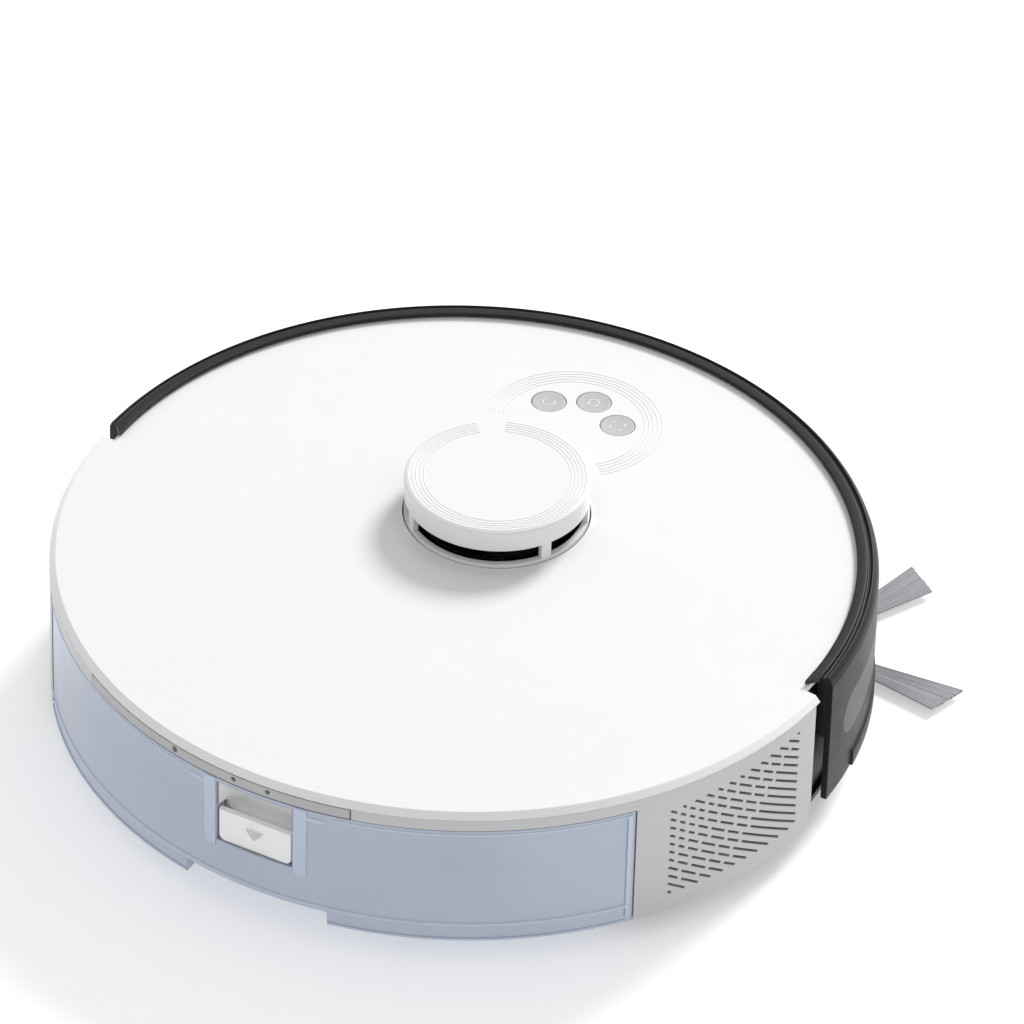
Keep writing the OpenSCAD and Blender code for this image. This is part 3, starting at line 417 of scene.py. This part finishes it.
def softCorners(outline, reach, steps=4):
    # each corner of a closed outline becomes a quadratic curve that starts and ends `reach` away from it
    corner = np.asarray(outline, float)
    before, after = np.roll(corner, 1, 0) - corner, np.roll(corner, -1, 0) - corner
    lengthBefore = np.linalg.norm(before, axis=1, keepdims=True)
    lengthAfter = np.linalg.norm(after, axis=1, keepdims=True)
    room = np.minimum(reach, 0.45 * np.minimum(lengthBefore, lengthAfter))
    start, end = corner + before / lengthBefore * room, corner + after / lengthAfter * room
    t = np.linspace(0, 1, steps)[None, :, None]
    curve = (1 - t) ** 2 * start[:, None] + 2 * t * (1 - t) * corner[:, None] + t ** 2 * end[:, None]
    return curve.reshape(-1, 2)


def turned(outline, angles, centre=(0, 0)):
    # each outline point (r, z) goes round an upright axis: x = cx + r cos a, y = cy + r sin a
    a = np.radians(angles)[:, None]
    r, z = np.asarray(outline, float).T
    flatZ = np.broadcast_to(z, (len(angles), len(z)))
    return np.stack([centre[0] + r * np.cos(a), centre[1] + r * np.sin(a), flatZ], -1)


def ringPart(outline, start, end, step=1.0):
    return loft(turned(outline, np.linspace(start, end, max(2, int(abs(end - start) / step) + 1))))


def fullRing(outline, centre=(0, 0), count=96):
    return loft(turned(outline, np.arange(count) * 360 / count, centre), closedAlong=True)


def prism(outline, bottom, top):
    # a flat outline (x, y) pushed up from bottom to top
    flat = np.asarray(outline, float)
    levels = np.array([bottom, top])[:, None, None]
    grid = np.concatenate([np.broadcast_to(flat, (2, len(flat), 2)), np.broadcast_to(levels, (2, len(flat), 1))], -1)
    return loft(grid)


def domeHeight(x, y):
    # height of the cover over the floor at (x, y): z = edge + rise * (1 - (r / R)^2)
    return cover["edge"] + cover["rise"] * (1 - (x * x + y * y) / cover["radius"] ** 2)


def makePiece(name, form, material, body, replaced=(), crease=34):
    points, faces = form
    mesh = bpy.data.meshes.new(name)
    mesh.from_pydata((np.asarray(points) * mm).tolist(), [], faces)
    shell = bmesh.new()
    shell.from_mesh(mesh)
    bmesh.ops.remove_doubles(shell, verts=shell.verts, dist=2e-6)
    bmesh.ops.recalc_face_normals(shell, faces=shell.faces)
    shell.to_mesh(mesh)
    shell.free()
    mesh.shade_smooth()
    mesh.set_sharp_from_angle(angle=math.radians(crease))
    mesh.materials.append(material)
    piece = bpy.data.objects.new(name, mesh)
    bpy.context.collection.objects.link(piece)
    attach(piece, body)
    if replaced:
        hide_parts(*replaced)
    return piece


# ---- bumper

cover = {"edge": 76, "rise": 3, "radius": 168}

bumper = {
    "inner": 168.0, "outer": 170.7, "bottom": 15.5, "top": 78.6, "round": 0.5,
    "flangeInner": 161.4, "flangeThick": 1.8, "groove": (165.7, 167.4), "grooveDepth": 1.5,
    "lip": {"start": 188.4, "end": 351.6, "outer": 171.7, "height": 8.7, "slope": 1.6},
    "tip": {"inner": 7.3, "outer": 2.8},
    "endRib": {"inner": 163.5, "thick": 3.0, "bottom": 47.0},
}


def makeBumper(b):
    # one outline of wall, shoulder, groove and flange carried round the front half, with slanted tips
    top, inner, outer = b["top"], b["inner"], b["outer"]
    grooveIn, grooveOut = b["groove"]
    under = top - b["flangeThick"]
    outline = [(inner, b["bottom"]), (outer, b["bottom"]), (outer, top - 4.6), (outer - 0.9, top - 2.2),
               (grooveOut + 0.5, top - 0.25), (grooveOut, top - b["grooveDepth"]),
               (grooveIn + 0.2, top - b["grooveDepth"]),
               (grooveIn, top), (b["flangeInner"], top), (b["flangeInner"], under), (inner - 1.4, under),
               (inner, top - 4)]
    forms = [ringPart(softCorners(outline, b["round"], 5), 180, 360)]
    lip = b["lip"]
    lipTop = b["bottom"] + lip["height"]
    lipOutline = [(outer - 0.5, b["bottom"] + 0.05), (lip["outer"], b["bottom"] + 0.05),
                  (lip["outer"], lipTop - lip["slope"]), (outer - 0.5, lipTop)]
    forms.append(ringPart(softCorners(lipOutline, 0.3, 4), lip["start"], lip["end"]))
    tip = b["tip"]
    for side in (-1, 1):
        near, far = side * (b["flangeInner"] + 0.02), side * grooveIn
        outlineXY = [(near, -0.6), (far, -0.6), (far, tip["outer"]), (near, tip["inner"])]
        forms.append(prism(softCorners(outlineXY, 0.4, 4), under + 0.02, top - 0.02))
        rib = b["endRib"]
        corners = [(side * rib["inner"], -rib["thick"]), (side * (inner + 0.1), -rib["thick"]),
                   (side * (inner + 0.1), -0.02), (side * rib["inner"], -0.02)]
        forms.append(prism(softCorners(corners, 0.3, 3), rib["bottom"], under + 0.1))
    makePiece("bumperShell", together(forms), finishes["charcoal_shell"], "bumper",
              ("bumper_shell",))


windows = {
    "height": 47.0, "radius": 170.7, "proud": 0.22, "turnSteps": 25, "runSteps": 64,
    "front": {"start": 244, "end": 296, "half": 8.0},
    "right": {"start": 184.2, "end": 220, "half": 10.0},
}


def stadiumPad(start, end, half, w):
    # a long pad with round ends wrapped on the wall: u runs along the arc, v up, s from the middle line to the rim
    halfLength = math.radians(end - start) * w["radius"] / 2 - half
    turns, runs = w["turnSteps"], w["runSteps"]
    turn, run = np.linspace(-90, 90, turns), np.linspace(halfLength, -halfLength, runs)
    middle = np.concatenate([np.full(turns, halfLength), run, np.full(turns, -halfLength), -run])
    angle = np.radians(np.concatenate([turn, np.full(runs, 90), turn + 180, np.full(runs, 270)]))
    share = np.array([0, 0.4, 0.75, 0.92, 0.97, 0.995, 1, 1, 0.5, 0])[:, None]
    lift = np.array([1, 1, 1, 0.97, 0.7, 0.25, -0.3, -4, -4, -4])[:, None] * w["proud"]
    u = middle + half * share * np.cos(angle)
    v = half * share * np.sin(angle)
    around = math.radians((start + end) / 2) + u / w["radius"]
    r = w["radius"] + lift + 0 * u
    return loft(np.stack([r * np.cos(around), r * np.sin(around), w["height"] + v], -1))


def makeWindows(w):
    front, right = w["front"], w["right"]
    makePiece("frontWindow", stadiumPad(front["start"], front["end"], front["half"], w), finishes["black_gloss"],
              "bumper", ("bumper_windows",))
    makePiece("rightWindow", stadiumPad(right["start"], right["end"], right["half"], w), finishes["window_grey"],
              "bumper", ("bumper_windows",))


makeBumper(bumper)
makeWindows(windows)
print("bumper made")

# ---- cover lines, turret lines, buttons

fineLines = {
    "halfWidth": 0.30, "height": 0.13, "sink": 0.12, "count": 5,
    "cover": {"centre": (2.3, -97.0), "inner": 30.0, "outer": 37.4, "start": 137, "end": 378},
    "turret": {"centre": (0, -27), "inner": 30.5, "outer": 36.8, "start": 313, "end": 654, "top": 97.0},
}


def raisedArcs(place, lines, heightAt):
    # thin rounded ribs on concentric arcs; section: height * (1 - (d / halfWidth)^2) over the surface
    across = np.array([-1, -0.6, 0, 0.6, 1])
    rise = np.append(lines["height"] * (1 - across ** 2), [-lines["sink"], -lines["sink"]])
    offset = np.append(across, [1, -1]) * lines["halfWidth"]
    a = np.radians(np.arange(place["start"], place["end"] + 0.5, 1.5))[:, None]
    forms = []
    for radius in np.linspace(place["inner"], place["outer"], lines["count"]):
        x = place["centre"][0] + (radius + offset) * np.cos(a)
        y = place["centre"][1] + (radius + offset) * np.sin(a)
        forms.append(loft(np.stack([x, y, heightAt(x, y) + rise], -1)))
    return together(forms)


def makeLines(lines):
    makePiece("coverLines", raisedArcs(lines["cover"], lines, domeHeight), finishes["white_shell"], "chassis")
    level = lines["turret"]["top"]
    makePiece("turretLines", raisedArcs(lines["turret"], lines, lambda x, y: level + 0 * x),
              finishes["white_shell"], "turret")


buttons = {
    "radius": 7.2, "ring": 19.0, "ringCentre": (2.2, -95.8), "sunk": 0.1, "dish": 0.25, "foot": 73.5,
    "iconWidth": 0.55, "iconHeight": 0.10,
}


def inkLine(path, closed, width, bottom, height):
    # a flat line along path (x, y): each point moves half a width to either side along the local normal
    path = np.asarray(path, float)
    ahead = np.roll(path, -1, 0) - np.roll(path, 1, 0) if closed else np.gradient(path, axis=0)
    normal = np.stack([-ahead[:, 1], ahead[:, 0]], -1) / np.linalg.norm(ahead, axis=1, keepdims=True)
    shift = np.array([-1, -0.6, 0.6, 1, 1, -1])[None, :, None] * width / 2
    xy = path[:, None] + normal[:, None] * shift
    z = bottom + np.broadcast_to(np.array([0.3, 1, 1, 0.3, -0.8, -0.8]) * height, xy.shape[:2])
    return loft(np.concatenate([xy, z[..., None]], -1), closedAlong=closed)


def strokes(corners, closed=False, steps=12):
    # straight runs between corners, filled in with evenly spaced points
    corners = np.asarray(corners, float)
    ends = np.roll(corners, -1, 0) if closed else corners[1:]
    starts = corners if closed else corners[:-1]
    t = np.arange(steps)[None, :, None] / steps
    filled = (starts[:, None] * (1 - t) + ends[:, None] * t).reshape(-1, 2)
    return filled if closed else np.concatenate([filled, corners[-1:]])


def iconPaths(kind):
    if kind == "left":  # open ring for a spot clean
        a = np.radians(np.linspace(120, 420, 60))
        return [(np.stack([2.5 * np.cos(a), 2.5 * np.sin(a)], -1), False)]
    if kind == "middle":  # roof and walls for going back to the dock
        return [(strokes([(-2.9, 0.2), (0, 2.9), (2.9, 0.2)]), False),
                (strokes([(-2.0, 0.8), (-2.0, -2.2), (2.0, -2.2), (2.0, 0.8)]), False)]
    corner = [(-2.6, 1.0), (-2.6, 2.4), (-1.2, 2.4)]  # four corner brackets for a room clean
    return [(strokes([(x * sx, y * sy) for x, y in corner]), False) for sx in (1, -1) for sy in (1, -1)]


def makeButtons(b):
    for index, side in ((1, "left"), (0, "middle"), (-1, "right")):
        angle = math.radians(-90 + 60 * index)
        x = b["ringCentre"][0] + b["ring"] * math.cos(angle)
        y = b["ringCentre"][1] + b["ring"] * math.sin(angle)
        top = domeHeight(x, y) - b["sunk"]
        r, foot = b["radius"], b["foot"]
        outline = [(0.001, top - b["dish"]), (2.5, top - b["dish"] * 0.9), (5.2, top - b["dish"] * 0.45),
                   (6.5, top - 0.02), (6.85, top), (7.1, top - 0.1), (r, top - 0.4), (r, foot + 0.9),
                   (r + 1, foot + 0.9), (r + 1, foot + 0.4), (2, foot + 0.4), (2, foot), (0.001, foot)]
        makePiece("button" + side.capitalize(), fullRing(outline, (x, y), 72), finishes["button_grey"],
                  "key_" + side, ("button_" + side,))
        forms = [inkLine(path * (1, -1), closed, b["iconWidth"], top - b["dish"] * 0.85, b["iconHeight"])
                 for path, closed in iconPaths(side)]
        points, faces = together(forms)
        makePiece("icon" + side.capitalize(), (points + (x, y, 0), faces), iconInk, "key_" + side)


makeLines(fineLines)
makeButtons(buttons)
print("cover lines and buttons made")

# ---- scanner lenses

lenses = {"spacing": 9.0, "height": 83.7, "face": 0.0, "radius": 2.85, "bulge": 1.1, "sunk": 1.6}


def makeLenses(l):
    # two domes behind the flat face: depth falls with the square of the distance from each axis
    ring = np.array([0.0001, 0.35, 0.65, 0.85, 1.0, 1.0, 0.0001])[:, None] * l["radius"]
    push = l["bulge"] * (1 - np.array([0, 0.35, 0.65, 0.85, 1.0, 1.0, 0]) ** 2) - np.array([0, 0, 0, 0, 0, 2.5, 3.6])
    a = np.radians(np.arange(0, 360, 7.5))[None, :]
    forms = []
    for side in (-1, 1):
        x = side * l["spacing"] + ring * np.cos(a)
        z = l["height"] + ring * np.sin(a)
        y = np.broadcast_to((l["face"] - l["sunk"] - l["bulge"] + push)[:, None], x.shape)
        forms.append(loft(np.stack([x, y, z], -1)))
    makePiece("scannerLenses", together(forms), lensGlass, "lidar")


makeLenses(lenses)

# ---- tank: handle cup, latch tab, rails and edge ribs

tank = {
    "radius": 170.3, "halfWidth": 135.9, "bottom": 11.2, "top": 67.7, "footGap": 32.5,
    "cup": {"half": 17.2, "low": 46.0, "high": 65.7, "depth": 11.0, "wall": 0.5, "lowRim": 6.8,
            "lowEnd": 53.3, "sidePower": 6, "endPower": 3.2, "endRoot": 1.7},
    "tab": {"half": 16.7, "low": 36.5, "high": 52.0, "outer": 169.8, "inner": 167.6, "corner": 3.0},
    "rail": {"inner": 17.9, "outer": 23.6, "low": 33.0, "high": 67.4, "proud": 0.32},
    "shelf": {"outer": 31.0, "low": 62.2, "high": 64.4},
    "rib": {"proud": 0.5},
    "arrow": {"rim": [(-3.6, 47.0), (3.6, 47.0), (0, 42.6)], "bars": [(2.3, 45.6), (1.3, 44.4)], "width": 0.34,
              "height": 0.12},
}


def wallPad(x0, x1, z0, z1, base, proud, columns=24, rounding=0.25):
    # a raised rectangle on the round rear wall: y = sqrt(R^2 - x^2), rolled off at its four edges
    x = np.linspace(x0, x1, columns)
    section = np.array([(z0, -1.0), (z0, proud - rounding), (z0 + rounding, proud), (z1 - rounding, proud),
                        (z1, proud - rounding), (z1, -1.0)])
    r = base + section[:, 1]
    y = np.sqrt(r[None, :] ** 2 - x[:, None] ** 2)
    z = np.broadcast_to(section[:, 0], y.shape)
    return loft(np.stack([np.broadcast_to(x[:, None], y.shape), y, z], -1))


def makeTankEdges(t):
    rail, shelf, rib = t["rail"], t["shelf"], t["rib"]
    r, half = t["radius"], t["halfWidth"]
    forms = []
    for side in (-1, 1):
        def pad(a, b, low, high, proud, columns=12):
            ends = sorted((side * a, side * b))
            forms.append(wallPad(*ends, low, high, r, proud, columns))
        pad(rail["inner"], rail["outer"], rail["low"], rail["high"], rail["proud"], 6)
        pad(rail["outer"] - 0.2, shelf["outer"], shelf["low"], shelf["high"], rail["proud"] * 0.8, 8)
        pad(half - 1.6, half - 0.4, t["bottom"] + 2.5, t["top"] - 1.2, rib["proud"] * 0.7, 4)
        pad(shelf["outer"] + 3, half - 1.6, t["top"] - 2.6, t["top"] - 1.4, rib["proud"] * 0.5, 60)
        pad(t["footGap"] + 0.4, half - 1.6, t["bottom"] + 0.3, t["bottom"] + 1.5, rib["proud"], 60)
    forms.append(wallPad(1.6 - half, half - 1.6, t["bottom"] + 7.2, t["bottom"] + 9.4, r, rib["proud"], 150, 0.5))
    makePiece("tankEdges", together(forms), finishes["tank_edge"], "tank")


def makeHandleCup(t):
    # scoop behind the tab: y falls from the wall by
    # depth * (1 - |u|^sidePower)^(1/2) * (1 - |v|^endPower)^(1/endRoot),
    # and below lowEnd by at least lowRim, eased away over the last 1 mm, so that the pressed tab stays clear
    cup = t["cup"]
    u = np.sin(np.linspace(-1, 1, 48) * math.pi / 2)[:, None]
    v = np.sin(np.linspace(-1, 1, 40) * math.pi / 2)[None, :]
    x = u * cup["half"] + 0 * v
    z = (cup["low"] + cup["high"]) / 2 + v * (cup["high"] - cup["low"]) / 2 + 0 * u
    rim = np.sqrt((t["radius"] - 0.2) ** 2 - x ** 2)
    acrossU = np.clip(1 - np.abs(u) ** cup["sidePower"], 0, 1) ** 0.5
    bowl = acrossU * np.clip(1 - np.abs(v) ** cup["endPower"], 0, 1) ** (1 / cup["endRoot"])
    low = np.clip(cup["lowEnd"] - z, 0, 1) * cup["lowRim"]
    front = np.stack([x, rim - np.maximum(cup["depth"] * bowl, low), z], -1)
    back = front - np.array([0, cup["wall"], 0])
    rows, columns = x.shape
    skin = gridFaces(rows, columns)
    total = rows * columns
    edge = np.concatenate([np.arange(columns), np.arange(1, rows) * columns + columns - 1,
                           (rows - 1) * columns + np.arange(columns - 2, -1, -1),
                           np.arange(rows - 2, 0, -1) * columns])
    side = np.stack([edge, np.roll(edge, -1), np.roll(edge, -1) + total, edge + total], -1)
    faces = np.concatenate([skin, skin[:, ::-1] + total, side]).tolist()
    points = np.concatenate([front.reshape(-1, 3), back.reshape(-1, 3)])
    makePiece("handleCup", (points, faces), finishes["white_shell"], "tank")


def makeLatchTab(t):
    # a thin tab that follows the rear wall, with round lower corners
    tab = t["tab"]
    outline = [(-tab["half"], tab["high"]), (-tab["half"], tab["low"]), (tab["half"], tab["low"]),
               (tab["half"], tab["high"])]
    flat = np.asarray(outline, float)
    lowRound = softCorners(flat, tab["corner"], 10)
    x, z = np.where(lowRound[:, 1] > tab["high"] - tab["corner"] - 0.1, np.sign(lowRound[:, 0]) * tab["half"],
                    lowRound[:, 0]), lowRound[:, 1]
    shrink = np.array([0.96, 0.99, 1, 1, 1])[:, None]
    outer, inner = tab["outer"], tab["inner"]
    depth = np.array([outer, outer - 0.08, outer - 0.45, inner + 0.2, inner])[:, None]
    middle = (tab["low"] + tab["high"]) / 2
    gridX = x * shrink
    gridZ = middle + (z - middle) * shrink
    gridY = np.sqrt(depth ** 2 - gridX ** 2)
    makePiece("latchTab", loft(np.stack([gridX, gridY, gridZ], -1)), finishes["white_shell"], "latch",
              ("tank_latch",))
    arrow = t["arrow"]
    paths = [strokes(arrow["rim"], True)] + [strokes([(-half, z), (half, z)]) for half, z in arrow["bars"]]
    forms = []
    for index, path in enumerate(paths):
        points, faces = inkLine(path, index == 0, arrow["width"], 0, arrow["height"])
        px, pz, lift = points.T
        forms.append((np.stack([px, np.sqrt((tab["outer"] + lift) ** 2 - px ** 2), pz], -1), faces))
    makePiece("latchIcon", together(forms), faintInk, "latch")


makeTankEdges(tank)
makeHandleCup(tank)
makeLatchTab(tank)
print("tank details made")

# ---- brushes

sideBrush = {
    "centre": (-108.5, -99.5), "first": 34.5, "arms": 5, "bristles": 40, "layers": 2, "root": 15.0, "tip": 72.3,
    "rootHalf": 2.5, "tipHalf": 8.6, "cut": 5.0, "width": 0.60, "thick": 0.42, "height": 3.0, "layerGap": 0.5,
    "steps": 7, "seed": 11,
}


def makeSideBrush(s):
    # every bristle is a flat strip: it fans out from root to tip with t^1.2, and the tips are cut on the slant
    chance = np.random.default_rng(s["seed"])
    shape = (s["arms"], s["layers"], s["bristles"])
    where = np.linspace(-1, 1, s["bristles"]) + chance.uniform(-0.03, 0.03, shape)
    end = s["tip"] - s["cut"] * (1 - where) / 2 - chance.uniform(0, 0.7, shape)
    t = np.linspace(0, 1, s["steps"])
    along = s["root"] + (end[..., None] - s["root"]) * t
    across = where[..., None] * (s["rootHalf"] + (s["tipHalf"] - s["rootHalf"]) * t ** 1.2)
    level = np.arange(s["layers"])[None, :, None, None] - (s["layers"] - 1) / 2
    wave = chance.uniform(-0.12, 0.12, shape)[..., None] * np.sin(t * math.pi)
    z = s["height"] + level * s["layerGap"] + wave
    cornerAcross = np.array([-0.5, 0.5, 0.5, -0.5]) * s["width"]
    cornerUp = np.array([-0.5, -0.5, 0.5, 0.5]) * s["thick"]
    angle = np.radians(s["first"] + 360 / s["arms"] * np.arange(s["arms"]))[:, None, None, None, None]
    u = along[..., None] + 0 * cornerAcross
    v = across[..., None] + cornerAcross
    x = s["centre"][0] + u * np.cos(angle) - v * np.sin(angle)
    y = s["centre"][1] + u * np.sin(angle) + v * np.cos(angle)
    points = np.stack([x, y, z[..., None] + cornerUp + 0 * u], -1).reshape(-1, 3)
    size = 4 * s["steps"]
    count = points.shape[0] // size
    strip = np.concatenate([gridFaces(s["steps"], 4, False, True), [[3, 2, 1, 0], np.arange(size - 4, size)]])
    faces = (strip[None] + size * np.arange(count)[:, None, None]).reshape(-1, 4).tolist()
    makePiece("sideBrushTufts", (points, faces), finishes["bristle_grey"], "side_brush",
              ("side_brush_bristles",))


mainBrush = {
    "half": 75.0, "y": 32.0, "z": 20.0, "core": 10.8, "outer": 18.7, "ripple": 0.3, "pitch": 3.0, "thick": 1.8,
    "tipThick": 0.9, "blades": 6, "twist": 120,
}


def makeMainBrush(m):
    # six soft blades wind round the core; the rim height is outer + ripple * cos(2 pi x / pitch)
    x = np.linspace(-m["half"], m["half"], 301)
    rim = m["outer"] + m["ripple"] * np.cos(2 * math.pi * x / m["pitch"])
    forms = []
    share = np.array([0, 0.5, 0.92, 1, 1, 0.92, 0.5, 0])
    side = np.array([-1, -1, -1, -0.5, 0.5, 1, 1, 1])
    half = (m["thick"] + (m["tipThick"] - m["thick"]) * share) / 2 * side
    radial = m["core"] + (rim[:, None] - m["core"]) * share
    for blade in range(m["blades"]):
        turn = 360 / m["blades"] * blade
        angle = np.radians(turn + m["twist"] * (x + m["half"]) / (2 * m["half"]))[:, None]
        y = m["y"] + radial * np.cos(angle) - half * np.sin(angle)
        z = m["z"] + radial * np.sin(angle) + half * np.cos(angle)
        forms.append(loft(np.stack([np.broadcast_to(x[:, None], y.shape), y, z], -1)))
    makePiece("mainBrushBlades", together(forms), finishes["orange_soft"], "main_brush",
              ("main_brush_bristles",))


makeSideBrush(sideBrush)
makeMainBrush(mainBrush)
print("brushes made")

# ---- floor


def makeFloor(s):
    half = s["floorHalf"]
    mesh = bpy.data.meshes.new("studioFloor")
    mesh.from_pydata([(-half, -half, 0), (half, -half, 0), (half, half, 0), (-half, half, 0)], [], [(0, 1, 2, 3)])
    floor = bpy.data.objects.new("studioFloor", mesh)
    bpy.context.collection.objects.link(floor)
    material, tree, surface, where = startMaterial("palePaper")
    tone = put(tree, "TexNoise", {"Vector": where, "Scale": 3, "Detail": 3}).outputs["Fac"]
    base = s["floorColour"]
    shade = blendColours(tree, tone, base, tuple(c * 0.985 for c in base[:3]) + (1,))
    tree.links.new(shade, surface.inputs["Base Color"])
    surface.inputs["Roughness"].default_value = 0.6
    surface.inputs["Specular IOR Level"].default_value = 0.2
    surface.inputs["Emission Color"].default_value = white
    surface.inputs["Emission Strength"].default_value = s["floorGlow"]
    mesh.materials.append(material)


makeFloor(studio)
